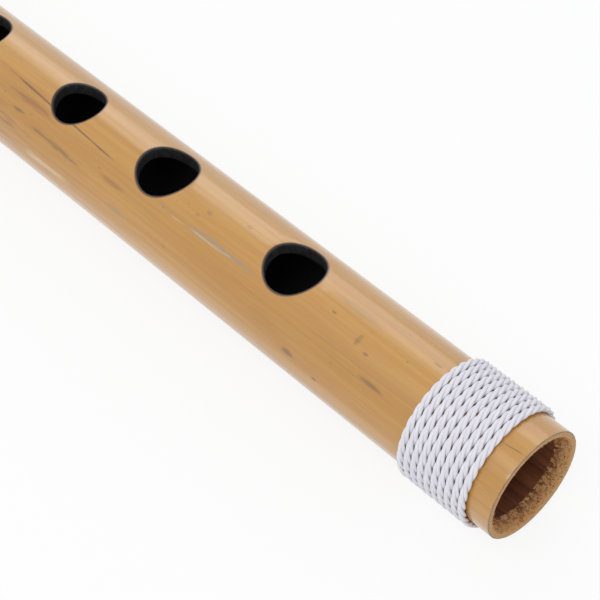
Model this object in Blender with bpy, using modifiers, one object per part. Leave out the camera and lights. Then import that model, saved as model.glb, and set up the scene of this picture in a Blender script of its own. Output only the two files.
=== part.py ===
"""A side-blown bamboo flute: the tube, its cork stopper and a cord binding near each end.

The flute lies along X with its open foot at +X and its finger holes facing up (+Z).
The origin is below the middle of its length, on the surface that the two bindings rest on.
"""
import math

import bmesh
import bpy
from mathutils import Vector

MM = 0.001

# The bamboo tube
TUBE_LENGTH = 425.0 * MM
TUBE_DIAMETER = 21.5 * MM
TUBE_WALL = 2.4 * MM
END_RING_WIDTH = 1.07 * MM
MOUTH_SLOPE_LENGTH = 2.7 * MM

# The finger holes from the foot up: distance to the hole below or to the foot face, then diameter
FINGER_HOLES = [
    (55.0 * MM, 10.9 * MM),
    (33.5 * MM, 11.3 * MM),
    (25.1 * MM, 9.9 * MM),
    (29.4 * MM, 10.5 * MM),
    (28.7 * MM, 10.3 * MM),
    (26.3 * MM, 9.7 * MM),
]

# The blow hole is a little longer along the tube than across it
BLOW_HOLE_FROM_HEAD = 64.0 * MM
BLOW_HOLE_LENGTH = 11.5 * MM
BLOW_HOLE_WIDTH = 10.0 * MM

# The cork stopper, whose inner face lies just past the blow hole
CORK_LENGTH = 15.0 * MM
CORK_FROM_BLOW_HOLE = 12.0 * MM
CORK_EDGE_ROUND = 0.7 * MM

# The cord bindings, each one cord wound round the tube
CORD_DIAMETER = 1.1 * MM
CORD_TURN_GAP = 0.42 * MM
BINDING_TURNS = 10
FOOT_BINDING_FROM_FOOT = 4.1 * MM
HEAD_BINDING_FROM_HEAD = 4.1 * MM
BINDING_START_ANGLE = math.radians(52.5)

# Running gap left between pieces that touch on the real flute
CLEARANCE = 0.3 * MM

# Smoothness of the round pieces
TUBE_SEGMENTS = 96
HOLE_SEGMENTS = 48
POINTS_PER_TURN = 24
CORD_SIDES = 6
SHARP_ANGLE = math.radians(35)
MERGE_DISTANCE = 0.00001

# Sizes that follow from those above
TUBE_RADIUS = TUBE_DIAMETER / 2
BORE_RADIUS = TUBE_RADIUS - TUBE_WALL
FOOT_X = TUBE_LENGTH / 2
HEAD_X = -TUBE_LENGTH / 2
BLOW_HOLE_X = HEAD_X + BLOW_HOLE_FROM_HEAD
CORK_FACE_X = BLOW_HOLE_X - CORK_FROM_BLOW_HOLE
CORK_RADIUS = BORE_RADIUS - CLEARANCE
CORD_RADIUS = CORD_DIAMETER / 2
CORD_PITCH = CORD_DIAMETER + CORD_TURN_GAP
BINDING_LENGTH = BINDING_TURNS * CORD_PITCH + CORD_DIAMETER
TURN_STEP = 2 * math.pi / POINTS_PER_TURN
CORD_LINE_RADIUS = (TUBE_RADIUS + CLEARANCE + CORD_RADIUS) / math.cos(TURN_STEP / 2)
REST_FLAT_DEPTH = CORD_DIAMETER / 10
CORD_HALF_THICKNESS = CORD_RADIUS * math.cos(math.pi / CORD_SIDES)
AXIS_HEIGHT = CORD_LINE_RADIUS * math.cos(TURN_STEP / 2) + CORD_HALF_THICKNESS - REST_FLAT_DEPTH


def empty_scene():
    """Remove every object, so that the flute is alone."""
    for old in list(bpy.data.objects):
        bpy.data.objects.remove(old, do_unlink=True)


def new_collection(name):
    """Return a new collection in the scene."""
    collection = bpy.data.collections.new(name)
    bpy.context.scene.collection.children.link(collection)
    return collection


def new_material(name, colour, roughness):
    """Return a plain non-metallic material."""
    material = bpy.data.materials.new(name)
    material.use_nodes = True
    shader = material.node_tree.nodes["Principled BSDF"]
    shader.inputs["Base Color"].default_value = (*colour, 1.0)
    shader.inputs["Roughness"].default_value = roughness
    shader.inputs["Metallic"].default_value = 0.0
    return material


def move_to(obj, collection):
    """Keep an object in one collection only."""
    for holder in list(obj.users_collection):
        holder.objects.unlink(obj)
    collection.objects.link(obj)


def make_cutter(obj, name):
    """Name an object and set it aside as a cutter."""
    obj.name = name
    obj.hide_render = True
    obj.display_type = "WIRE"
    move_to(obj, cutters)
    return obj


def cut(obj, cutter):
    """Cut an object with a cutter by an exact Boolean."""
    boolean = obj.modifiers.new("cut " + cutter.name, "BOOLEAN")
    boolean.operation = "DIFFERENCE"
    boolean.solver = "EXACT"
    boolean.object = cutter


def smooth_round_faces(mesh):
    """Shade the round faces smooth and keep the corners sharp."""
    mesh.shade_smooth()
    mesh.set_sharp_from_angle(angle=SHARP_ANGLE)


def make_tube():
    """Turn the tube with a sloped mouth at each end, then bore its seven holes from above."""
    ring_inner = TUBE_RADIUS - END_RING_WIDTH
    profile = [
        (TUBE_RADIUS, FOOT_X),
        (TUBE_RADIUS, HEAD_X),
        (ring_inner, HEAD_X),
        (BORE_RADIUS, HEAD_X + MOUTH_SLOPE_LENGTH),
        (BORE_RADIUS, FOOT_X - MOUTH_SLOPE_LENGTH),
        (ring_inner, FOOT_X),
    ]
    mesh = bpy.data.meshes.new("bamboo_tube")
    edges = [(i, (i + 1) % len(profile)) for i in range(len(profile))]
    mesh.from_pydata([(radius, 0.0, along) for radius, along in profile], edges, [])
    tube = bpy.data.objects.new("bamboo_tube", mesh)
    parts.objects.link(tube)
    tube.parent = axis
    tube.rotation_euler = (0.0, math.pi / 2, 0.0)
    screw = tube.modifiers.new("turn", "SCREW")
    screw.axis = "Z"
    screw.steps = TUBE_SEGMENTS
    screw.render_steps = TUBE_SEGMENTS
    screw.use_merge_vertices = True
    screw.merge_threshold = MERGE_DISTANCE
    screw.use_smooth_shade = True
    mesh.materials.append(bamboo)

    hole_x = FOOT_X
    for number, (spacing, diameter) in enumerate(FINGER_HOLES, start=1):
        hole_x -= spacing
        cut(tube, hole_cutter(f"finger_hole_cutter_{number}", hole_x, diameter, diameter))
    cut(tube, hole_cutter("blow_hole_cutter", BLOW_HOLE_X, BLOW_HOLE_LENGTH, BLOW_HOLE_WIDTH))


def hole_cutter(name, x, length, width):
    """Return an upright cutter from the tube's axis to above its skin."""
    height = TUBE_DIAMETER
    middle = (x, 0.0, AXIS_HEIGHT + height / 2)
    bpy.ops.mesh.primitive_cylinder_add(
        vertices=HOLE_SEGMENTS, radius=0.5, depth=height, location=middle
    )
    cutter = bpy.context.object
    cutter.scale = (length, width, 1.0)
    bpy.ops.object.transform_apply(location=False, rotation=False, scale=True)
    return make_cutter(cutter, name)


def make_cork():
    """Make the cork stopper, which is pushed along the bore to tune the flute."""
    bpy.ops.mesh.primitive_cylinder_add(
        vertices=TUBE_SEGMENTS, radius=CORK_RADIUS, depth=CORK_LENGTH
    )
    stopper = bpy.context.object
    stopper.name = "cork_stopper"
    move_to(stopper, parts)
    stopper.parent = axis
    stopper.location = (CORK_FACE_X - CORK_LENGTH / 2, 0.0, 0.0)
    stopper.rotation_euler = (0.0, math.pi / 2, 0.0)
    rounding = stopper.modifiers.new("worn edges", "BEVEL")
    rounding.width = CORK_EDGE_ROUND
    rounding.segments = 2
    rounding.limit_method = "ANGLE"
    smooth_round_faces(stopper.data)
    stopper.data.materials.append(cork)


def cord_point(angle, along):
    """Return a point of a binding's line, at an angle round the tube and a height along it."""
    x = CORD_LINE_RADIUS * math.cos(angle)
    y = CORD_LINE_RADIUS * math.sin(angle)
    return Vector((x, y, along))


def cord_run(angle):
    """Return a step of one cord diameter, straight on from the line at this angle."""
    climb = CORD_PITCH / (2 * math.pi * CORD_LINE_RADIUS)
    direction = Vector((-math.sin(angle), math.cos(angle), climb))
    return direction.normalized() * CORD_DIAMETER


def binding_points(low_end):
    """Return the line of a cord that winds up from low_end, with a straight run at each end."""
    points = []
    for i in range(BINDING_TURNS * POINTS_PER_TURN + 1):
        angle = BINDING_START_ANGLE + i * TURN_STEP
        along = low_end + CORD_RADIUS + CORD_PITCH * i / POINTS_PER_TURN
        points.append(cord_point(angle, along))
    points.insert(0, points[0] - cord_run(BINDING_START_ANGLE))
    points.append(points[-1] + cord_run(angle))
    return points


def least_gap(points):
    """Return the least gap that a cord leaves to its own neighbouring turns."""
    closest = math.inf
    for i, here in enumerate(points):
        for there in points[i + POINTS_PER_TURN // 2:]:
            closest = min(closest, (here - there).length)
    return closest - CORD_DIAMETER


def make_binding(name, low_end):
    """Wind one cord round the tube as a single tube-shaped curve, flat where it rests."""
    points = binding_points(low_end)
    print(f"{name}: least gap between turns {least_gap(points) / MM:.3f} mm")
    line = bpy.data.curves.new(name + "_line", "CURVE")
    line.dimensions = "3D"
    line.twist_mode = "Z_UP"
    line.bevel_depth = CORD_RADIUS
    line.bevel_resolution = CORD_SIDES // 2 - 2
    line.use_fill_caps = True
    spline = line.splines.new("POLY")
    spline.points.add(len(points) - 1)
    for spot, point in zip(spline.points, points):
        spot.co = (*point, 1.0)
        spot.tilt = math.pi / CORD_SIDES
    guide = bpy.data.objects.new(name + "_line", line)
    parts.objects.link(guide)
    guide.parent = axis
    guide.rotation_euler = (0.0, math.pi / 2, 0.0)
    bpy.context.view_layer.update()

    evaluated = guide.evaluated_get(bpy.context.evaluated_depsgraph_get())
    mesh = bpy.data.meshes.new_from_object(evaluated)
    mesh.name = name
    welded = bmesh.new()
    welded.from_mesh(mesh)
    bmesh.ops.remove_doubles(welded, verts=welded.verts, dist=MERGE_DISTANCE)
    welded.to_mesh(mesh)
    welded.free()
    smooth_round_faces(mesh)
    mesh.materials.clear()
    mesh.materials.append(cord)
    binding = bpy.data.objects.new(name, mesh)
    parts.objects.link(binding)
    binding.matrix_world = guide.matrix_world
    bpy.data.objects.remove(guide, do_unlink=True)
    cut(binding, rest_cutter)


def make_rest_cutter():
    """Return a slab under the resting plane, which trims the bindings flat there."""
    depth = TUBE_DIAMETER
    bpy.ops.mesh.primitive_cube_add(size=1.0, location=(0.0, 0.0, -depth / 2))
    slab = bpy.context.object
    slab.scale = (TUBE_LENGTH, TUBE_DIAMETER, depth)
    bpy.ops.object.transform_apply(location=False, rotation=False, scale=True)
    return make_cutter(slab, "rest_cutter")


empty_scene()
parts = new_collection("bansuri")
cutters = new_collection("cutters")
bamboo = new_material("lacquered_bamboo", (0.60, 0.36, 0.13), 0.35)
cork = new_material("cork", (0.52, 0.34, 0.19), 0.90)
cord = new_material("white_nylon_cord", (0.84, 0.83, 0.86), 0.60)

axis = bpy.data.objects.new("flute_axis", None)
axis.location = (0.0, 0.0, AXIS_HEIGHT)
parts.objects.link(axis)

rest_cutter = make_rest_cutter()
make_tube()
make_cork()
make_binding("foot_binding", FOOT_X - FOOT_BINDING_FROM_FOOT - BINDING_LENGTH)
make_binding("head_binding", HEAD_X + HEAD_BINDING_FROM_HEAD)
bpy.context.view_layer.update()
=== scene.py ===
import math
import random

import bmesh
import bpy
from mathutils import Matrix, Vector, noise


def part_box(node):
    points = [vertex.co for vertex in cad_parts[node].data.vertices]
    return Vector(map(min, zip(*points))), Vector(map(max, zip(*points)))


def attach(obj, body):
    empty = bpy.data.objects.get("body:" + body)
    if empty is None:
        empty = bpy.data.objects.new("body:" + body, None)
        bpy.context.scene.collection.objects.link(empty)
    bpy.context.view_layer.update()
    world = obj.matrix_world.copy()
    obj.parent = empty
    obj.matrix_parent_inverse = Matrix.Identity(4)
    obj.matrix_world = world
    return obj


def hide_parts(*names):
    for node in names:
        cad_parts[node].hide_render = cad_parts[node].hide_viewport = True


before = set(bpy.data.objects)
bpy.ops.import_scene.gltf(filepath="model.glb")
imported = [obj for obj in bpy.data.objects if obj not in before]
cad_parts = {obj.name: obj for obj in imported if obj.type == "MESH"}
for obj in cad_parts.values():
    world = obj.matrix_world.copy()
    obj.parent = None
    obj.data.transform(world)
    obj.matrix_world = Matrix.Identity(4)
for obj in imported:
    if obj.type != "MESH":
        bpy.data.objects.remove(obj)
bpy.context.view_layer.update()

# The camera looks down the flute from close above its foot end, through a long lens.
# Its places are measured in millimetres from the middle of the foot's open mouth.
MM = 0.001
CAMERA_FROM_FOOT = (105.93, -133.35, 261.12)
AIM_FROM_FOOT = (-54.58, 0.0, 1.62)
PICTURE_RIGHT = (0.692934, 0.718553, -0.059360)
LENS = 113.42
SENSOR_WIDTH = 36.0

tube_low, tube_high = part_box("bamboo_tube")
foot_x = tube_high.x
head_x = tube_low.x
axis_z = (tube_low.z + tube_high.z) / 2
foot_middle = Vector((foot_x, 0.0, axis_z))
camera_place = foot_middle + Vector(CAMERA_FROM_FOOT) * MM
camera_aim = foot_middle + Vector(AIM_FROM_FOOT) * MM

camera_data = bpy.data.cameras.new("photo_camera")
camera_data.sensor_width = SENSOR_WIDTH
camera_data.lens = LENS
camera_data.clip_start = 0.01
camera_data.clip_end = 20.0
camera = bpy.data.objects.new("photo_camera", camera_data)
bpy.context.scene.collection.objects.link(camera)
view_back = (camera_place - camera_aim).normalized()
view_up = view_back.cross(Vector(PICTURE_RIGHT)).normalized()
view_right = view_up.cross(view_back).normalized()
view_axes = Matrix((view_right, view_up, view_back)).transposed()
camera.matrix_world = Matrix.Translation(camera_place) @ view_axes.to_4x4()
bpy.context.scene.camera = camera
bpy.context.scene.view_settings.view_transform = "Standard"


def calc(tree, operation, first, second=None):
    """Add a math node, whose inputs are numbers or sockets, and return its output."""
    node = tree.nodes.new("ShaderNodeMath")
    node.operation = operation
    for socket, value in zip(node.inputs, (first, second)):
        if value is None:
            continue
        if isinstance(value, (int, float)):
            socket.default_value = value
        else:
            tree.links.new(value, socket)
    return node.outputs[0]


def seen_or_mirrored(tree):
    """Return 1 where the camera or a reflection looks straight at a surface, and 0 elsewhere."""
    ray = tree.nodes.new("ShaderNodeLightPath")
    return calc(tree, "MAXIMUM", ray.outputs["Is Camera Ray"], ray.outputs["Is Glossy Ray"])


# The light is a white room all round, and two large soft lamps: one above the front of the
# flute and a weaker one behind it. The room shows as white but lights the flute more gently.
ROOM_COLOUR = (0.96, 0.98, 1.0, 1.0)
ROOM_LIGHT = 0.62
LAMP_SIZE = 0.8
LAMP_TARGET = (0.05, 0.0, 0.0)

world = bpy.data.worlds.new("white_room")
bpy.context.scene.world = world
world.use_nodes = True
room = world.node_tree.nodes["Background"]
room.inputs["Color"].default_value = ROOM_COLOUR
room_strength = world.node_tree.nodes.new("ShaderNodeMapRange")
room_strength.inputs["To Min"].default_value = ROOM_LIGHT
room_strength.inputs["To Max"].default_value = 1.0
world.node_tree.links.new(seen_or_mirrored(world.node_tree), room_strength.inputs["Value"])
world.node_tree.links.new(room_strength.outputs["Result"], room.inputs["Strength"])

for name, place, power in (
    ("lamp_above", (0.2, -0.6, 1.1), 6.0),
    ("lamp_behind", (-0.5, 0.9, 0.8), 3.0),
):
    lamp_data = bpy.data.lights.new(name, "AREA")
    lamp_data.size = LAMP_SIZE
    lamp_data.energy = power
    lamp = bpy.data.objects.new(name, lamp_data)
    bpy.context.scene.collection.objects.link(lamp)
    lamp.location = place
    away = Vector(place) - Vector(LAMP_TARGET)
    lamp.rotation_euler = away.to_track_quat("Z", "Y").to_euler()

# The floor is a plain sheet of white paper. Most of its white is its own, so it shows as white,
# and the rest is lit by the lamps, which keeps a faint shadow under the flute.
FLOOR_WIDTH = 12.0
FLOOR_GLOW = 0.86

bpy.ops.mesh.primitive_plane_add(size=FLOOR_WIDTH, location=(0.0, 0.0, 0.0))
floor = bpy.context.object
floor.name = "white_floor"
floor_material = bpy.data.materials.new("white_floor")
floor_material.use_nodes = True
floor_tree = floor_material.node_tree
paper = floor_tree.nodes["Principled BSDF"]
paper.inputs["Base Color"].default_value = (0.9, 0.9, 0.9, 1.0)
paper.inputs["Roughness"].default_value = 0.9
glow = floor_tree.nodes.new("ShaderNodeEmission")
floor_mix = floor_tree.nodes.new("ShaderNodeMixShader")
glow_share = calc(floor_tree, "MULTIPLY", seen_or_mirrored(floor_tree), FLOOR_GLOW)
floor_tree.links.new(glow_share, floor_mix.inputs[0])
floor_tree.links.new(paper.outputs[0], floor_mix.inputs[1])
floor_tree.links.new(glow.outputs[0], floor_mix.inputs[2])
floor_tree.links.new(floor_mix.outputs[0], floor_tree.nodes["Material Output"].inputs["Surface"])
floor.data.materials.append(floor_material)

# The tube is one length of bamboo culm, lacquered outside and left bare in its bore.
# A knife has cut each mouth: a flat ring at the rim, then a rough slope in to the bore.
# The wall's outline is drawn once at the top of the tube and spun round the flute's axis.
TUBE_RADIUS = (tube_high.z - tube_low.z) / 2
TUBE_WALL = 2.4 * MM
BORE_RADIUS = TUBE_RADIUS - TUBE_WALL
END_RING_WIDTH = 1.07 * MM
RING_INNER = TUBE_RADIUS - END_RING_WIDTH
MOUTH_SLOPE = 2.7 * MM
RIM_ROUND = 0.12 * MM
TUBE_SEGMENTS = 192
SKIN_STEPS = 110
BORE_STEPS = 60
SLOPE_STEPS = 14
MERGE_DISTANCE = 0.001 * MM


def nothing_selected():
    """Leave edit mode and clear the selection."""
    if bpy.context.object and bpy.context.object.mode != "OBJECT":
        bpy.ops.object.mode_set(mode="OBJECT")
    bpy.ops.object.select_all(action="DESELECT")


def spun(name, outline, middle, axis, segments):
    """Draw an outline point by point and spin it round the axis through middle."""
    nothing_selected()
    bpy.ops.mesh.primitive_plane_add(size=MM, location=outline[0])
    shape = bpy.context.object
    shape.name = name
    bpy.ops.object.transform_apply(location=True, rotation=False, scale=False)
    bpy.ops.object.mode_set(mode="EDIT")
    bpy.ops.mesh.select_all(action="SELECT")
    bpy.ops.mesh.merge(type="CENTER")
    for here, there in zip(outline, outline[1:]):
        step = Vector(there) - Vector(here)
        bpy.ops.mesh.extrude_region_move(TRANSFORM_OT_translate={"value": tuple(step)})
    bpy.ops.mesh.select_all(action="SELECT")
    bpy.ops.mesh.spin(
        steps=segments, angle=2 * math.pi, center=tuple(middle), axis=tuple(axis)
    )
    bpy.ops.mesh.select_all(action="SELECT")
    bpy.ops.mesh.remove_doubles(threshold=MERGE_DISTANCE)
    bpy.ops.mesh.normals_make_consistent(inside=False)
    bpy.ops.object.mode_set(mode="OBJECT")
    return shape


def wall_outline():
    """Return the wall's closed outline: foot rim, skin, head mouth, bore and foot slope."""
    rim = [(0.0, RING_INNER), (0.0, (RING_INNER + TUBE_RADIUS) / 2)]
    rim += [(0.0, TUBE_RADIUS - RIM_ROUND), (0.3 * RIM_ROUND, TUBE_RADIUS - 0.3 * RIM_ROUND)]
    rim += [(RIM_ROUND, TUBE_RADIUS), (0.5 * MM, TUBE_RADIUS)]
    slope = []
    for i in range(1, SLOPE_STEPS + 1):
        share = i / SLOPE_STEPS
        slope.append((MOUTH_SLOPE * share, RING_INNER + (BORE_RADIUS - RING_INNER) * share))
    length = foot_x - head_x
    bore_length = length - 2 * MOUTH_SLOPE
    points = [(foot_x - inset, radius) for inset, radius in rim]
    points += [(foot_x - length * i / SKIN_STEPS, TUBE_RADIUS) for i in range(1, SKIN_STEPS)]
    points += [(head_x + inset, radius) for inset, radius in reversed(rim)]
    points += [(head_x + inset, radius) for inset, radius in slope]
    for i in range(1, BORE_STEPS):
        points.append((head_x + MOUTH_SLOPE + bore_length * i / BORE_STEPS, BORE_RADIUS))
    points += [(foot_x - inset, radius) for inset, radius in reversed(slope)]
    points.append(points[0])
    return [(x, 0.0, axis_z + radius) for x, radius in points]


tube = spun("tube", wall_outline(), foot_middle, (1.0, 0.0, 0.0), TUBE_SEGMENTS)

# The culm isn't quite round, its bore is rippled, and the knife leaves the mouths chipped.
SKIN_SWELL = 0.035 * MM
BORE_RIPPLE = 0.05 * MM
SLOPE_CHIP = 0.22 * MM
RING_CHIP = 0.03 * MM
TOUCH = 0.0001 * MM

for vertex in tube.data.vertices:
    x, y, z = vertex.co
    arm = Vector((0.0, y, z - axis_z))
    inset = min(foot_x - x, x - head_x)
    if arm.length > TUBE_RADIUS - 0.01 * MM:
        swell = SKIN_SWELL * noise.noise(Vector((x * 14, y * 60, z * 60)))
    elif TOUCH < inset < MOUTH_SLOPE * 0.99:
        chips = noise.noise(Vector((x, y, z)) * 900)
        chips += 0.6 * noise.noise(Vector((x, y, z)) * 2200)
        swell = -SLOPE_CHIP * abs(chips)
    elif inset < TOUCH:
        swell = 0.0
        chip = RING_CHIP * abs(noise.noise(Vector((x, y, z)) * 1500))
        vertex.co.x -= math.copysign(1.0, x) * chip
    else:
        swell = BORE_RIPPLE * noise.noise(Vector((x * 30, y * 200, z * 200)))
    vertex.co += arm.normalized() * swell

# The blow hole and the six finger holes were burnt through with a hot rod, so each lip is a
# little round and uneven. Each is cut by a turned plug that follows the curve of the skin.
# Finger holes are listed from the foot up, each as the distance from the one before it, or
# from the foot for the first, and its diameter, in millimetres.
FINGER_HOLES = ((55.0, 10.9), (33.5, 11.3), (25.1, 9.9), (29.4, 10.5), (28.7, 10.3), (26.3, 9.7))
BLOW_HOLE_FROM_HEAD = 64.0 * MM
BLOW_HOLE_LENGTH = 11.5 * MM
BLOW_HOLE_WIDTH = 10.0 * MM
LIP_ROUND = 0.38 * MM
LIP_DEGREES = (20, 40, 60, 76)
LIP_WOBBLE = 0.012
LIP_TOP = 0.09 * MM
PLUG_DEPTH = 9.0 * MM
PLUG_RISE = 3.0 * MM
PLUG_RINGS = (3.0 * MM, 1.6 * MM)
HOLE_SEGMENTS = 96

holes = []
hole_x = foot_x
for spacing, diameter in FINGER_HOLES:
    hole_x -= spacing * MM
    holes.append((hole_x, diameter * MM, diameter * MM))
holes.append((head_x + BLOW_HOLE_FROM_HEAD, BLOW_HOLE_LENGTH, BLOW_HOLE_WIDTH))


def burnt_plug(number, middle, length, width):
    """Return the shape that one hole takes out of the wall."""
    mean = (length + width) / 2
    radius = mean / 2
    outline = [(0.0, -PLUG_DEPTH), (radius, -PLUG_DEPTH)]
    outline += [(radius, -depth) for depth in PLUG_RINGS]
    outline.append((radius, -LIP_ROUND))
    for degrees in LIP_DEGREES:
        turn = math.radians(degrees)
        out = LIP_ROUND * (1 - math.cos(turn))
        outline.append((radius + out, -LIP_ROUND * (1 - math.sin(turn))))
    outline += [(radius + LIP_ROUND * 1.05, LIP_TOP), (radius + LIP_ROUND * 1.3, PLUG_RISE)]
    outline.append((0.0, PLUG_RISE))
    points = [(middle + out, 0.0, axis_z + TUBE_RADIUS + height) for out, height in outline]
    name = f"plug_{number}"
    shape = spun(name, points, (middle, 0.0, axis_z), (0.0, 0.0, 1.0), HOLE_SEGMENTS)
    for vertex in shape.data.vertices:
        along = vertex.co.x - middle
        across = vertex.co.y
        off_axis = math.hypot(along, across) > 0.1 * MM
        along *= length / mean
        across *= width / mean
        if off_axis:
            turn = math.atan2(across, along)
            side = Vector((math.cos(turn), math.sin(turn), 0.0))
            wobble = noise.noise(side * 1.7 + Vector((0.0, 0.0, number * 5.0)))
            wobble += 0.35 * noise.noise(side * 9 + Vector((0.0, 0.0, number * 7.0)))
            along *= 1 + LIP_WOBBLE * wobble
            across *= 1 + LIP_WOBBLE * wobble
        drop = math.sqrt(max(TUBE_RADIUS**2 - across**2, 0.0)) - TUBE_RADIUS
        vertex.co = (middle + along, across, vertex.co.z + drop)
    return shape


plugs = [burnt_plug(number, *hole) for number, hole in enumerate(holes)]
nothing_selected()
for shape in plugs:
    shape.select_set(True)
bpy.context.view_layer.objects.active = plugs[0]
bpy.ops.object.join()
plug = bpy.context.object

# The bamboo's four finishes: lacquered skin, bare cut ends, dark bore and charred hole walls.
# Grain runs along the tube, so its noise is drawn out along X.
# The colour sockets of a Mix node share their names with others, so they go by number.
MIX_FIRST = 6
MIX_SECOND = 7
MIX_RESULT = 2


def new_material(name):
    """Return a new material with its node tree and its shader."""
    material = bpy.data.materials.new(name)
    material.use_nodes = True
    return material, material.node_tree, material.node_tree.nodes["Principled BSDF"]


def mixed(tree, share, first, second):
    """Mix two colours, each given as numbers or as a socket, and return the result."""
    node = tree.nodes.new("ShaderNodeMix")
    node.data_type = "RGBA"
    tree.links.new(share, node.inputs["Factor"])
    for number, value in ((MIX_FIRST, first), (MIX_SECOND, second)):
        if isinstance(value, tuple):
            node.inputs[number].default_value = (*value, 1.0)
        else:
            tree.links.new(value, node.inputs[number])
    return node.outputs[MIX_RESULT]


def ranged(tree, value, low, high, to_low=0.0, to_high=1.0):
    """Map a value smoothly from low..high to another range, and hold it beyond the ends."""
    node = tree.nodes.new("ShaderNodeMapRange")
    node.interpolation_type = "SMOOTHSTEP"
    tree.links.new(value, node.inputs["Value"])
    node.inputs["From Min"].default_value = low
    node.inputs["From Max"].default_value = high
    node.inputs["To Min"].default_value = to_low
    node.inputs["To Max"].default_value = to_high
    return node.outputs["Result"]


def bump(tree, shader, height, distance):
    """Feed a height, as relief of a given depth, to a shader's normal."""
    node = tree.nodes.new("ShaderNodeBump")
    node.inputs["Distance"].default_value = distance
    tree.links.new(height, node.inputs["Height"])
    tree.links.new(node.outputs[0], shader.inputs["Normal"])


def build_grain():
    """Build the group of noise that can be drawn out along an axis, as fibres are."""
    group = bpy.data.node_groups.new("grain", "ShaderNodeTree")
    for name, kind in (
        ("Position", "NodeSocketVector"),
        ("Stretch", "NodeSocketVector"),
        ("Shift", "NodeSocketVector"),
        ("Scale", "NodeSocketFloat"),
        ("Detail", "NodeSocketFloat"),
        ("Roughness", "NodeSocketFloat"),
    ):
        group.interface.new_socket(name, in_out="INPUT", socket_type=kind)
    group.interface.new_socket("Grain", in_out="OUTPUT", socket_type="NodeSocketFloat")
    given = group.nodes.new("NodeGroupInput")
    result = group.nodes.new("NodeGroupOutput")
    mapping = group.nodes.new("ShaderNodeMapping")
    texture = group.nodes.new("ShaderNodeTexNoise")
    group.links.new(given.outputs["Position"], mapping.inputs["Vector"])
    group.links.new(given.outputs["Stretch"], mapping.inputs["Scale"])
    group.links.new(given.outputs["Shift"], mapping.inputs["Location"])
    group.links.new(mapping.outputs[0], texture.inputs["Vector"])
    for name in ("Scale", "Detail", "Roughness"):
        group.links.new(given.outputs[name], texture.inputs[name])
    group.links.new(texture.outputs["Fac"], result.inputs["Grain"])
    return group


grain_group = build_grain()


def grain(tree, position, scale, stretch=(1.0, 1.0, 1.0), detail=3.0, rough=0.5, shift=0.0):
    """Place the grain group on a position and return its value."""
    node = tree.nodes.new("ShaderNodeGroup")
    node.node_tree = grain_group
    tree.links.new(position, node.inputs["Position"])
    node.inputs["Stretch"].default_value = stretch
    node.inputs["Shift"].default_value = (shift, shift, shift)
    node.inputs["Scale"].default_value = scale
    node.inputs["Detail"].default_value = detail
    node.inputs["Roughness"].default_value = rough
    return node.outputs["Grain"]


def build_place_on_tube():
    """Build the group that gives each point its place on the tube, in millimetres and degrees."""
    group = bpy.data.node_groups.new("place_on_tube", "ShaderNodeTree")
    coordinates = group.nodes.new("ShaderNodeTexCoord")
    split = group.nodes.new("ShaderNodeSeparateXYZ")
    group.links.new(coordinates.outputs["Object"], split.inputs[0])
    x, y, z = split.outputs
    up = calc(group, "SUBTRACT", z, axis_z)
    from_foot = calc(group, "MULTIPLY", calc(group, "SUBTRACT", foot_x, x), 1 / MM)
    turn = calc(group, "ARCTAN2", calc(group, "MULTIPLY", y, -1.0), up)
    angle = calc(group, "MULTIPLY", turn, 180 / math.pi)
    squares = calc(group, "ADD", calc(group, "MULTIPLY", y, y), calc(group, "MULTIPLY", up, up))
    radius = calc(group, "MULTIPLY", calc(group, "SQRT", squares), 1 / MM)
    nearest = None
    for middle, length, width in holes:
        along = calc(group, "DIVIDE", calc(group, "SUBTRACT", x, middle), length / 2)
        across = calc(group, "DIVIDE", y, width / 2)
        along = calc(group, "MULTIPLY", along, along)
        across = calc(group, "MULTIPLY", across, across)
        reach = calc(group, "SQRT", calc(group, "ADD", along, across))
        mean_radius = (length + width) / 4 / MM
        edge = calc(group, "MULTIPLY", calc(group, "SUBTRACT", reach, 1.0), mean_radius)
        nearest = edge if nearest is None else calc(group, "MINIMUM", nearest, edge)
    far_side = calc(group, "MULTIPLY", calc(group, "LESS_THAN", up, 0.0), 50.0)
    nearest = calc(group, "ADD", nearest, far_side)
    result = group.nodes.new("NodeGroupOutput")
    for name, value in (
        ("From Foot", from_foot),
        ("Angle", angle),
        ("Radius", radius),
        ("Hole Distance", nearest),
    ):
        group.interface.new_socket(name, in_out="OUTPUT", socket_type="NodeSocketFloat")
        group.links.new(value, result.inputs[name])
    return group


place_group = build_place_on_tube()


def place_and_position(tree):
    """Add the group of places and the object's coordinates to a material."""
    place = tree.nodes.new("ShaderNodeGroup")
    place.node_tree = place_group
    coordinates = tree.nodes.new("ShaderNodeTexCoord")
    return place.outputs, coordinates.outputs["Object"]


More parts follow.
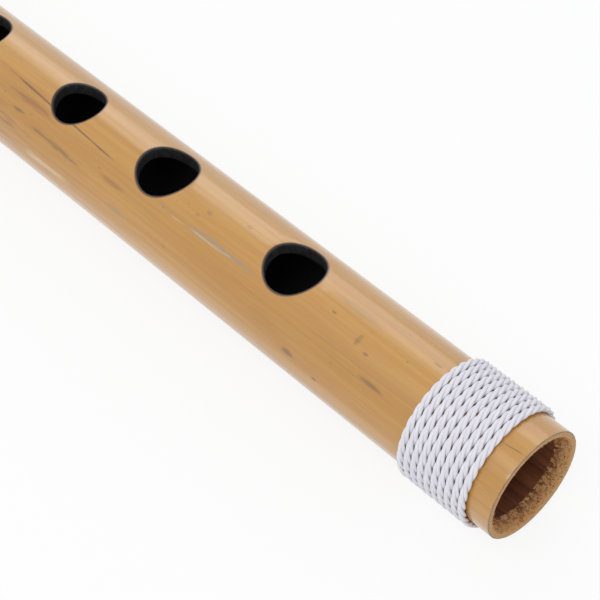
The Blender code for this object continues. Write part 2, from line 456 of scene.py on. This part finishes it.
# Stains and scratches of the skin. Each is its distance from the foot in mm, its angle from the
# line of holes towards the front in degrees, half its length and half its width in mm, how
# ragged it is, its slant in degrees per mm, its colour and its strength.
GREY = (0.30, 0.24, 0.17)
DARK_BROWN = (0.13, 0.06, 0.025)
RED_BROWN = (0.27, 0.10, 0.035)
SOFT_BROWN = (0.33, 0.18, 0.07)
GREY_GREEN = (0.27, 0.25, 0.15)
PALE = (0.72, 0.52, 0.28)
MARKS = (
    (70.0, 31.0, 16.0, 0.75, 3.0, 0.10, GREY, 0.55),
    (72.0, 33.5, 12.0, 0.35, 3.0, 0.10, PALE, 0.5),
    (115.0, 22.0, 22.0, 0.28, 1.6, -0.30, DARK_BROWN, 0.75),
    (95.5, 45.0, 5.0, 0.9, 2.2, 0.0, RED_BROWN, 0.5),
    (113.0, 51.0, 8.0, 0.7, 3.0, 0.0, DARK_BROWN, 0.6),
    (121.5, 32.0, 8.0, 0.8, 2.5, 0.0, RED_BROWN, 0.6),
    (122.5, 45.0, 4.0, 0.5, 3.0, 0.0, DARK_BROWN, 0.7),
    (29.0, 45.0, 3.6, 0.5, 1.4, 0.0, DARK_BROWN, 0.55),
    (46.9, 72.0, 1.6, 0.7, 3.0, 0.0, DARK_BROWN, 0.6),
    (40.3, 79.0, 0.8, 0.4, 2.0, 0.0, DARK_BROWN, 0.6),
    (75.0, 10.5, 0.9, 0.6, 1.2, 0.0, SOFT_BROWN, 0.55),
    (76.5, 19.0, 0.8, 0.5, 1.2, 0.0, SOFT_BROWN, 0.5),
    (67.2, -3.5, 0.9, 0.6, 1.2, 0.0, SOFT_BROWN, 0.5),
    (43.0, 13.0, 0.7, 0.4, 1.0, 0.0, DARK_BROWN, 0.5),
    (36.0, 20.0, 0.6, 1.4, 3.0, 0.0, DARK_BROWN, 0.4),
    (33.3, 26.0, 0.7, 0.4, 1.0, 0.0, DARK_BROWN, 0.5),
    (22.5, -8.0, 1.3, 0.4, 1.0, 0.0, DARK_BROWN, 0.5),
    (40.0, -4.0, 8.0, 0.9, 1.6, 0.0, SOFT_BROWN, 0.4),
    (113.0, 80.0, 8.0, 1.2, 1.6, 0.0, PALE, 0.6),
    (92.5, 68.0, 3.5, 1.0, 2.2, 0.0, GREY_GREEN, 0.4),
    (53.7, -55.0, 1.6, 0.5, 1.2, 0.0, GREY, 0.7),
    (30.0, 38.0, 24.0, 0.22, 1.6, 0.04, SOFT_BROWN, 0.45),
    (34.0, 47.0, 20.0, 0.20, 1.8, -0.05, SOFT_BROWN, 0.4),
    (2.4, 12.0, 2.6, 0.16, 1.4, 0.6, DARK_BROWN, 0.6),
    (2.0, 55.0, 2.5, 0.18, 1.6, 0.0, SOFT_BROWN, 0.6),
)


def mark_mask(tree, place, position, middle, angle, half_length, half_width, ragged, slant):
    """Return the mask of one mark: an oval on the skin with a ragged, streaky edge."""
    along = calc(tree, "SUBTRACT", place["From Foot"], middle)
    around = calc(tree, "SUBTRACT", place["Angle"], angle)
    around = calc(tree, "SUBTRACT", around, calc(tree, "MULTIPLY", along, slant))
    arc = calc(tree, "MULTIPLY", around, math.radians(TUBE_RADIUS / MM))
    along = calc(tree, "DIVIDE", along, half_length)
    arc = calc(tree, "DIVIDE", arc, half_width)
    along = calc(tree, "MULTIPLY", along, along)
    arc = calc(tree, "MULTIPLY", arc, arc)
    reach = calc(tree, "SQRT", calc(tree, "ADD", along, arc))
    tear = grain(tree, position, 900.0, (0.12, 1.0, 1.0), 3.0, 0.6, middle)
    tear = calc(tree, "MULTIPLY", calc(tree, "SUBTRACT", tear, 0.5), ragged)
    return ranged(tree, calc(tree, "ADD", reach, tear), 0.35, 1.0, 1.0, 0.0)


def skin_material():
    """Golden tan skin with fine grain and marks, under a thin satin lacquer."""
    gold = (0.50, 0.243, 0.042)
    light_gold = (0.56, 0.285, 0.058)
    dark_streak = (0.44, 0.185, 0.03)
    pale_streak = (0.62, 0.34, 0.09)
    scuff = (0.27, 0.125, 0.04)
    scorch = (0.045, 0.016, 0.008)
    skin_edge = (0.20, 0.18, 0.15)
    material, tree, shader = new_material("lacquered_skin")
    place, position = place_and_position(tree)
    broad = grain(tree, position, 120.0, (0.12, 1.0, 1.0), 2.0, 0.5)
    streak = grain(tree, position, 900.0, (0.03, 1.0, 1.0), 4.0, 0.6, 3.0)
    fine = grain(tree, position, 3200.0, (0.02, 1.0, 1.0), 3.0, 0.6, 7.0)
    colour = mixed(tree, ranged(tree, broad, 0.35, 0.65), gold, light_gold)
    colour = mixed(tree, ranged(tree, streak, 0.40, 0.62, 0.0, 0.45), colour, dark_streak)
    colour = mixed(tree, ranged(tree, fine, 0.52, 0.75, 0.0, 0.35), colour, pale_streak)

    # Scuffs lie on the front half of the tube and grow stronger away from the foot.
    along = ranged(tree, place["From Foot"], 20.0, 120.0)
    front = ranged(tree, place["Angle"], 15.0, 55.0)
    scuffs = grain(tree, position, 420.0, (0.10, 1.0, 1.0), 4.0, 0.65, 11.0)
    scuffs = ranged(tree, scuffs, 0.53, 0.68, 0.0, 0.75)
    scuffs = calc(tree, "MULTIPLY", scuffs, calc(tree, "MULTIPLY", along, front))
    colour = mixed(tree, scuffs, colour, scuff)
    specks = grain(tree, position, 1500.0, (0.4, 1.0, 1.0), 2.0, 0.5, 17.0)
    colour = mixed(tree, ranged(tree, specks, 0.72, 0.78, 0.0, 0.55), colour, DARK_BROWN)
    for *shape, stain, strength in MARKS:
        mask = mark_mask(tree, place, position, *shape)
        colour = mixed(tree, calc(tree, "MULTIPLY", mask, strength), colour, stain)

    # A scorched ring lies round each hole, and a thin grey line of cut skin at each rim.
    burnt = ranged(tree, place["Hole Distance"], 0.30, 0.62, 1.0, 0.0)
    colour = mixed(tree, burnt, colour, scorch)
    from_head = calc(tree, "SUBTRACT", (foot_x - head_x) / MM, place["From Foot"])
    inset = calc(tree, "MINIMUM", place["From Foot"], from_head)
    colour = mixed(tree, ranged(tree, inset, 0.06, 0.16, 0.9, 0.0), colour, skin_edge)
    tree.links.new(colour, shader.inputs["Base Color"])
    tree.links.new(ranged(tree, streak, 0.3, 0.7, 0.30, 0.42), shader.inputs["Roughness"])
    shader.inputs["Coat Weight"].default_value = 0.8
    shader.inputs["Coat Roughness"].default_value = 0.16
    shader.inputs["Coat IOR"].default_value = 1.5
    relief = calc(tree, "ADD", streak, calc(tree, "MULTIPLY", fine, 0.5))
    bump(tree, shader, relief, 0.02 * MM)
    return material


def cut_end_material():
    """Bare cut bamboo of the mouths: pale pith dotted with the ends of its fibre bundles, darker
    in patches towards the bore with stain and painted shade.
    """
    bundle_end = (0.26, 0.11, 0.035)
    pith = (0.56, 0.33, 0.14)
    orange_pith = (0.62, 0.30, 0.10)
    inward_stain_and_shade = (0.13, 0.035, 0.012)
    skin_line = (0.22, 0.20, 0.17)
    material, tree, shader = new_material("cut_bamboo")
    place, position = place_and_position(tree)
    dots = tree.nodes.new("ShaderNodeTexVoronoi")
    dots.inputs["Scale"].default_value = 2600.0
    tree.links.new(position, dots.inputs["Vector"])
    colour = mixed(tree, ranged(tree, dots.outputs["Distance"], 0.15, 0.45), bundle_end, pith)
    patch = grain(tree, position, 700.0, (1.0, 1.0, 1.0), 3.0, 0.6)
    colour = mixed(tree, ranged(tree, patch, 0.42, 0.6, 0.0, 0.6), colour, orange_pith)
    # Towards the bore the slope darkens in ragged patches: partly the bare fibre's own dark
    # stain, partly painted shade where the mouth turns into the bore.
    inner = ranged(tree, place["Radius"], 8.45, 9.3, 1.0, 0.0)
    inner_dark = grain(tree, position, 1300.0, (0.35, 1.0, 1.0), 3.0, 0.6, 5.0)
    inner_dark = calc(tree, "MULTIPLY", inner, ranged(tree, inner_dark, 0.40, 0.58))
    colour = mixed(tree, inner_dark, colour, inward_stain_and_shade)
    colour = mixed(tree, ranged(tree, place["Radius"], 10.50, 10.62), colour, skin_line)
    tree.links.new(colour, shader.inputs["Base Color"])
    shader.inputs["Roughness"].default_value = 0.75
    bump(tree, shader, calc(tree, "ADD", dots.outputs["Distance"], patch), 0.08 * MM)
    return material


def bore_material():
    """Inside of the bore: dark red-brown near the foot, darkening to near black from there to the
    head.
    """
    dark_red = (0.13, 0.040, 0.018)
    red_brown = (0.23, 0.078, 0.032)
    near_black = (0.008, 0.006, 0.006)
    material, tree, shader = new_material("dark_bore")
    place, position = place_and_position(tree)
    streak = grain(tree, position, 1100.0, (0.05, 1.0, 1.0), 4.0, 0.6, 2.0)
    colour = mixed(tree, ranged(tree, streak, 0.35, 0.65), dark_red, red_brown)
    # The bore darkens to near black between 10 and 38 mm in from the foot, and stays so to the
    # head.
    colour = mixed(tree, ranged(tree, place["From Foot"], 10.0, 38.0), colour, near_black)
    tree.links.new(colour, shader.inputs["Base Color"])
    shader.inputs["Roughness"].default_value = 0.7
    shader.inputs["Specular IOR Level"].default_value = 0.25
    bump(tree, shader, streak, 0.06 * MM)
    return material


def burnt_wall_material():
    """Wall of a burnt hole: charcoal, browner at the lip."""
    black = (0.010, 0.010, 0.011)
    charcoal = (0.028, 0.027, 0.028)
    brown_lip = (0.055, 0.018, 0.010)
    material, tree, shader = new_material("burnt_wall")
    place, position = place_and_position(tree)
    flakes = grain(tree, position, 1600.0, (1.0, 1.0, 0.5), 4.0, 0.6)
    colour = mixed(tree, ranged(tree, flakes, 0.35, 0.65), black, charcoal)
    colour = mixed(tree, ranged(tree, place["Hole Distance"], 0.02, 0.26), colour, brown_lip)
    tree.links.new(colour, shader.inputs["Base Color"])
    shader.inputs["Roughness"].default_value = 0.55
    bump(tree, shader, flakes, 0.06 * MM)
    return material


for material in (skin_material(), cut_end_material(), bore_material()):
    tube.data.materials.append(material)
plug.data.materials.append(burnt_wall_material())
SKIN_FACE = 0
CUT_END_FACE = 1
BORE_FACE = 2
for face in tube.data.polygons:
    radius = math.hypot(face.center.y, face.center.z - axis_z)
    inset = min(foot_x - face.center.x, face.center.x - head_x)
    if radius > TUBE_RADIUS - 0.5 * RIM_ROUND:
        face.material_index = SKIN_FACE
    elif inset < MOUTH_SLOPE:
        face.material_index = CUT_END_FACE
    else:
        face.material_index = BORE_FACE

nothing_selected()
bpy.context.view_layer.objects.active = tube
tube.select_set(True)
burning = tube.modifiers.new("burnt holes", "BOOLEAN")
burning.operation = "DIFFERENCE"
burning.solver = "EXACT"
burning.material_mode = "TRANSFER"
burning.object = plug
bpy.ops.object.modifier_apply(modifier=burning.name)
bpy.data.objects.remove(plug, do_unlink=True)
bpy.ops.object.shade_smooth_by_angle(angle=math.radians(32))
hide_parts("bamboo_tube")
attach(tube, "flute")

# Torn fibres stand on the slope of each mouth, where the knife went across the grain.
# They are part of the bamboo itself, so they ride with the tube.
FIBRES_PER_MOUTH = 620
FIBRE_SIDES = 4
FIBRE_LEVELS = (0.0, 0.4, 0.75)
FIBRE_ROOT = 0.12 * MM
FIBRE_REACH = 0.9
FIBRE_BEND = 0.35


def torn_fibres(name, end_x, outward, seed):
    """Plant small tapered fibres at random on one mouth's slope, as one mesh."""
    chance = random.Random(seed)
    shape = bmesh.new()
    out = Vector((outward, 0.0, 0.0))
    for _ in range(FIBRES_PER_MOUTH):
        turn = chance.uniform(0, 2 * math.pi)
        share = chance.uniform(0.10, 1.0) ** 0.8
        radius = RING_INNER + (BORE_RADIUS - RING_INNER) * share
        radial = Vector((0.0, -math.sin(turn), math.cos(turn)))
        around = Vector((0.0, -math.cos(turn), -math.sin(turn)))
        depth = MOUTH_SLOPE * share
        root = Vector((end_x, 0.0, axis_z)) + radial * (radius + FIBRE_ROOT) - out * depth
        lean = out * chance.uniform(0.2, 1.0) - radial * chance.uniform(0.25, 0.9)
        lean = (lean + around * chance.uniform(-0.55, 0.55)).normalized()
        bend = out * chance.uniform(-0.6, 0.4) + around * chance.uniform(-0.5, 0.5)
        length = chance.uniform(0.35, 1.15) * MM
        reach = (lean + FIBRE_BEND * bend).dot(out) * length
        if reach > depth * FIBRE_REACH:
            length *= depth * FIBRE_REACH / reach
        thick = chance.uniform(0.045, 0.11) * MM
        side = lean.cross(out + around * 0.3).normalized()
        other = lean.cross(side).normalized()
        rings = []
        for level in FIBRE_LEVELS:
            spot = root + lean * length * level + bend * length * FIBRE_BEND * level * level
            size = thick * (1 - 0.75 * level)
            ring = []
            for k in range(FIBRE_SIDES):
                angle = 2 * math.pi * k / FIBRE_SIDES
                corner = side * math.cos(angle) * size * 1.5 + other * math.sin(angle) * size
                ring.append(shape.verts.new(spot + corner))
            rings.append(ring)
        tip = shape.verts.new(root + lean * length + bend * length * FIBRE_BEND)
        shape.faces.new(list(reversed(rings[0])))
        for low, high in zip(rings, rings[1:]):
            for k in range(FIBRE_SIDES):
                n = (k + 1) % FIBRE_SIDES
                shape.faces.new((low[k], low[n], high[n], high[k]))
        for k in range(FIBRE_SIDES):
            shape.faces.new((rings[-1][k], rings[-1][(k + 1) % FIBRE_SIDES], tip))
    bmesh.ops.recalc_face_normals(shape, faces=shape.faces)
    mesh = bpy.data.meshes.new(name)
    shape.to_mesh(mesh)
    shape.free()
    mesh.shade_smooth()
    fibres = bpy.data.objects.new(name, mesh)
    bpy.context.scene.collection.objects.link(fibres)
    return fibres


def fibre_material():
    """Raw fibre, orange tan where the light catches it."""
    rust = (0.42, 0.15, 0.035)
    orange_tan = (0.74, 0.37, 0.12)
    material, tree, shader = new_material("torn_fibre")
    position = place_and_position(tree)[1]
    tone = grain(tree, position, 900.0, (1.0, 1.0, 1.0), 2.0, 0.5)
    colour = mixed(tree, ranged(tree, tone, 0.38, 0.62), rust, orange_tan)
    tree.links.new(colour, shader.inputs["Base Color"])
    shader.inputs["Roughness"].default_value = 0.6
    return material


raw_fibre = fibre_material()
for name, end_x, outward, seed in (
    ("foot_fibres", foot_x, 1.0, 11),
    ("head_fibres", head_x, -1.0, 23),
):
    fibres = torn_fibres(name, end_x, outward, seed)
    fibres.data.materials.append(raw_fibre)
    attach(fibres, "flute")

# The stopper is a plug of bark cork, pushed into the bore from the head end and held by its
# squeeze alone. Dark pores run through it, and its edges are worn round.
# The gap at its side keeps the cork clear of the bore's ripple as it slides.
CORK_SIDE_GAP = 0.12 * MM
CORK_ROUND = 0.9 * MM
CORK_DISH = 0.1 * MM
CORK_SEGMENTS = 64
CORK_RADIUS = BORE_RADIUS - CORK_SIDE_GAP
cork_low, cork_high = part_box("cork_stopper")


def cork_edge(end_x, inward, degrees):
    """Return one point of the round edge at an end of the cork."""
    turn = math.radians(degrees)
    inset = CORK_ROUND * (1 - math.cos(turn))
    return (end_x + inward * inset, CORK_RADIUS - CORK_ROUND * (1 - math.sin(turn)))


def cork_outline():
    """Return the cork's outline from the middle of one end to the middle of the other."""
    foot_end = cork_high.x
    head_end = cork_low.x
    points = [(foot_end - 0.25 * MM, 0.0), (foot_end - CORK_DISH, CORK_RADIUS * 0.5)]
    points += [(foot_end, CORK_RADIUS - 2 * CORK_ROUND)]
    points += [(foot_end - 0.05 * MM, CORK_RADIUS - CORK_ROUND)]
    points += [cork_edge(foot_end, -1.0, degrees) for degrees in (30, 60, 90)]
    for share in (0.8, 0.6, 0.4, 0.2):
        points.append((head_end + (foot_end - head_end) * share, CORK_RADIUS))
    points += [cork_edge(head_end, 1.0, degrees) for degrees in (90, 60, 30)]
    points += [(head_end, CORK_RADIUS - 1.5 * CORK_ROUND)]
    points += [(head_end + CORK_DISH, CORK_RADIUS * 0.5), (head_end + 0.2 * MM, 0.0)]
    return [(x, 0.0, axis_z + radius) for x, radius in points]


def cork_material():
    """Tan cork, mottled, with dark pores."""
    brown_cork = (0.42, 0.24, 0.12)
    tan_cork = (0.60, 0.40, 0.22)
    pore = (0.12, 0.05, 0.02)
    material, tree, shader = new_material("bark_cork")
    position = place_and_position(tree)[1]
    mottle = grain(tree, position, 900.0, (1.0, 1.0, 1.0), 5.0, 0.65)
    pores = grain(tree, position, 420.0, (1.0, 0.35, 1.0), 3.0, 0.5, 9.0)
    colour = mixed(tree, ranged(tree, mottle, 0.35, 0.65), brown_cork, tan_cork)
    colour = mixed(tree, ranged(tree, pores, 0.62, 0.68), colour, pore)
    tree.links.new(colour, shader.inputs["Base Color"])
    shader.inputs["Roughness"].default_value = 0.85
    bump(tree, shader, calc(tree, "SUBTRACT", mottle, pores), 0.25 * MM)
    return material


cork_middle = (cork_low.x, 0.0, axis_z)
stopper = spun("stopper", cork_outline(), cork_middle, (1.0, 0.0, 0.0), CORK_SEGMENTS)
bpy.ops.object.shade_smooth_by_angle(angle=math.radians(50))
stopper.data.materials.append(cork_material())
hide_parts("cork_stopper")
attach(stopper, "stopper")

# The bindings are white nylon cord of three soft strands, wound ten tight turns round the tube
# near each end to keep it from splitting, and pressed a little flat against it.
# The ends of each cord are drawn thin and tucked in on the underside.
CORD_TURNS = 10
CORD_PITCH = 1.52 * MM
CORD_THICK = 1.2 * MM
CORD_LAY = 6.9 * MM
STEPS_PER_LAY = 16
STRANDS = 3
STRAND_RADIUS = 0.375 * MM
STRAND_OFFSET = 0.395 * MM
ROUND_CORD = 2 * (STRAND_RADIUS + STRAND_OFFSET)
START_ANGLE = math.radians(-127.5)
TUCK_TURNS = 0.07
TUCKED_SHARE = 0.35
TURN_SWAY = 0.045 * MM
LAY_WANDER = 0.10
STRAND_WANDER = 0.03


def binding(name, node, seed):
    """Lay three strands round a line that winds along the tube, then press the cord flat."""
    low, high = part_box(node)
    first_x = (low.x + high.x - CORD_TURNS * CORD_PITCH) / 2
    turn_length = 2 * math.pi * (TUBE_RADIUS + ROUND_CORD / 2)
    steps = round(CORD_TURNS * turn_length / CORD_LAY * STEPS_PER_LAY)
    curve = bpy.data.curves.new(name, "CURVE")
    curve.dimensions = "3D"
    curve.twist_mode = "MINIMUM"
    curve.bevel_depth = STRAND_RADIUS
    curve.bevel_resolution = 3
    curve.use_fill_caps = True
    for strand in range(STRANDS):
        spline = curve.splines.new("POLY")
        spline.points.add(steps)
        for i, spot in enumerate(spline.points):
            turns = CORD_TURNS * i / steps
            angle = START_ANGLE + 2 * math.pi * turns
            from_end = min(turns, CORD_TURNS - turns, TUCK_TURNS) / TUCK_TURNS
            full = TUCKED_SHARE + (1 - TUCKED_SHARE) * math.sin(from_end * math.pi / 2)
            sway = TURN_SWAY * noise.noise(Vector((turns * 2.1, seed, 0.0)))
            wander = LAY_WANDER * noise.noise(Vector((turns * 1.7, seed, 4.0)))
            lays = turns * turn_length / CORD_LAY + wander
            phase = 2 * math.pi * (lays + strand / STRANDS + seed * 0.37)
            out = STRAND_OFFSET * full * math.cos(phase)
            along = STRAND_OFFSET * full * math.sin(phase)
            radius = TUBE_RADIUS + ROUND_CORD / 2 * full + out
            x = first_x + turns * CORD_PITCH + along + sway
            y = -radius * math.sin(angle)
            spot.co = (x, y, axis_z + radius * math.cos(angle), 1.0)
            uneven = noise.noise(Vector((turns * 5.0, strand * 3.0, seed)))
            spot.radius = full * (1 + STRAND_WANDER * uneven)
    line = bpy.data.objects.new(name + "_line", curve)
    bpy.context.scene.collection.objects.link(line)
    bpy.context.view_layer.update()
    drawn = line.evaluated_get(bpy.context.evaluated_depsgraph_get())
    mesh = bpy.data.meshes.new_from_object(drawn)
    mesh.name = name
    wound = bpy.data.objects.new(name, mesh)
    bpy.context.scene.collection.objects.link(wound)
    bpy.data.objects.remove(line, do_unlink=True)
    for vertex in mesh.vertices:
        arm = Vector((0.0, vertex.co.y, vertex.co.z - axis_z))
        pressed = TUBE_RADIUS + (arm.length - TUBE_RADIUS) * CORD_THICK / ROUND_CORD
        vertex.co += arm.normalized() * (pressed - arm.length)
    mesh.shade_smooth()
    return wound


def nylon_material():
    """White nylon: bundles of fine filaments that run along each strand, streaked with painted
    shade and painted highlight.
    """
    shaded_white = (0.74, 0.71, 0.78)
    bright_white = (0.86, 0.85, 0.89)
    material, tree, shader = new_material("white_nylon")
    strand_map = tree.nodes.new("ShaderNodeUVMap")
    strand_map.uv_map = "UVMap"
    split = tree.nodes.new("ShaderNodeSeparateXYZ")
    tree.links.new(strand_map.outputs[0], split.inputs[0])
    turn = calc(tree, "MULTIPLY", split.outputs[1], 2 * math.pi)
    joined = tree.nodes.new("ShaderNodeCombineXYZ")
    tree.links.new(calc(tree, "COSINE", turn), joined.inputs[0])
    tree.links.new(calc(tree, "SINE", turn), joined.inputs[1])
    tree.links.new(calc(tree, "MULTIPLY", split.outputs[0], 60.0), joined.inputs[2])
    filaments = grain(tree, joined.outputs[0], 5.0, (1.0, 1.0, 1.0), 3.0, 0.6)
    # Painted shade and painted highlight: the filament streaks mix a shaded lavender copy of the
    # white with a bright copy of it.
    colour = mixed(tree, ranged(tree, filaments, 0.35, 0.65), shaded_white, bright_white)
    tree.links.new(colour, shader.inputs["Base Color"])
    shader.inputs["Roughness"].default_value = 0.42
    shader.inputs["Sheen Weight"].default_value = 0.25
    shader.inputs["Sheen Roughness"].default_value = 0.4
    bump(tree, shader, filaments, 0.05 * MM)
    return material


white_nylon = nylon_material()
for name, node, seed in (
    ("foot_cord", "foot_binding", 1.0),
    ("head_cord", "head_binding", 2.0),
):
    wound = binding(name, node, seed)
    wound.data.materials.append(white_nylon)
    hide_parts(node)
    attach(wound, "flute")
